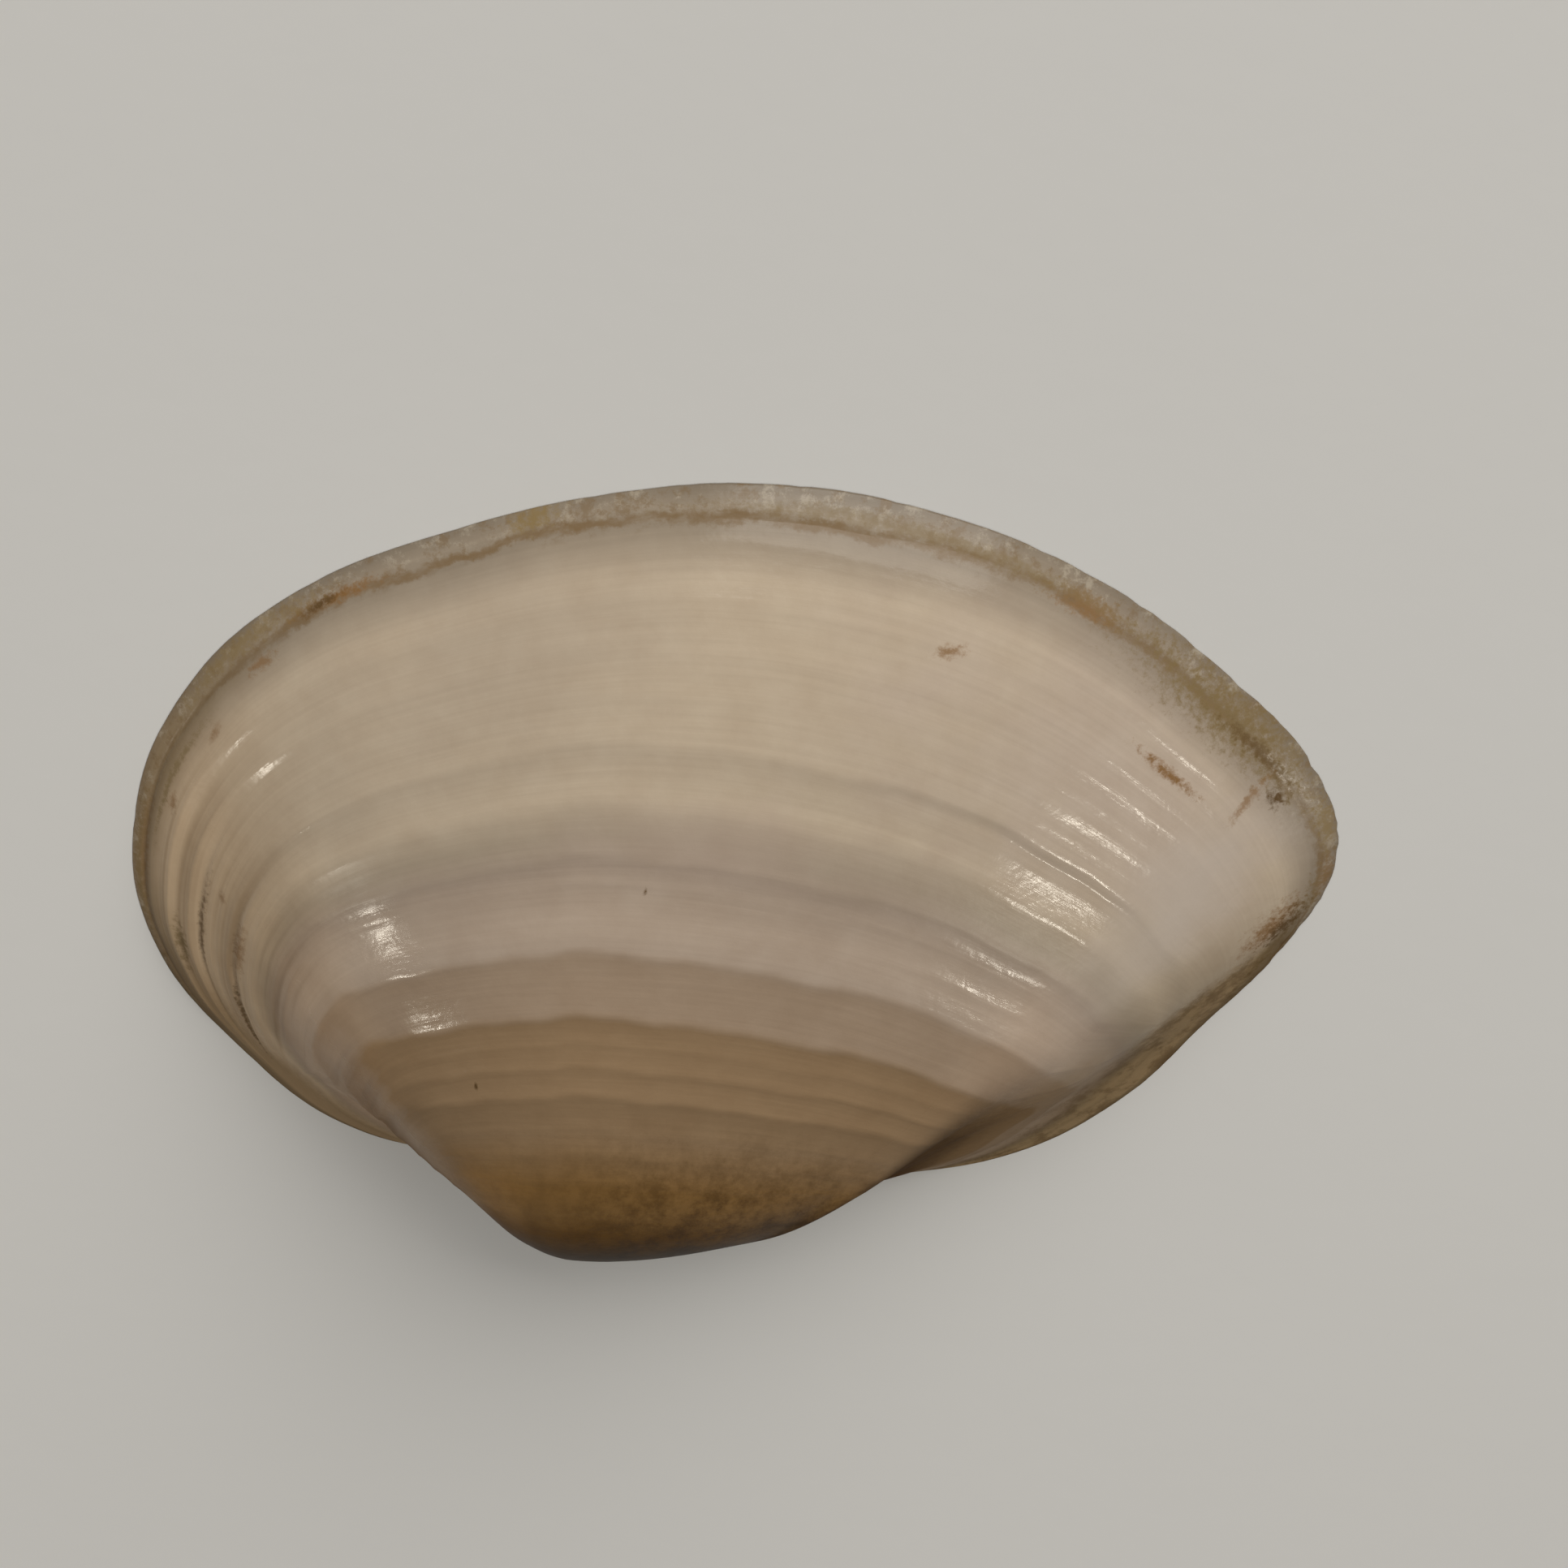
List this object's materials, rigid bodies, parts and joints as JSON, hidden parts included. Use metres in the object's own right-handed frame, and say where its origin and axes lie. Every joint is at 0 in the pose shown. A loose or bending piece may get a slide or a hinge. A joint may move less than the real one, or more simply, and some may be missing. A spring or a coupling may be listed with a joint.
{
  "type": "trough clam shell valve",
  "caption": "Single right valve of a smooth, glossy trough clam shell, hollow underneath, with a hinge plate and teeth, lying on its lip with the outside up.",
  "frame": {"origin": "centre of the valve's box, in the plane of the lip it rests on", "axes": "+X towards the shell's rounded front end, +Y towards the hinge, +Z out of the valve's outside, with the lip and the hinge line in the plane Z = 0"},
  "size_m": [0.032, 0.0243, 0.0066],
  "materials": {
    "shell_white": "glossy, porcelain-like aragonite, cream and pinkish white with thin brown growth lines and an olive-brown beak"
  },
  "bodies": {
    "root": {"right_valve": "shell_white"}
  },
  "joints": []
}
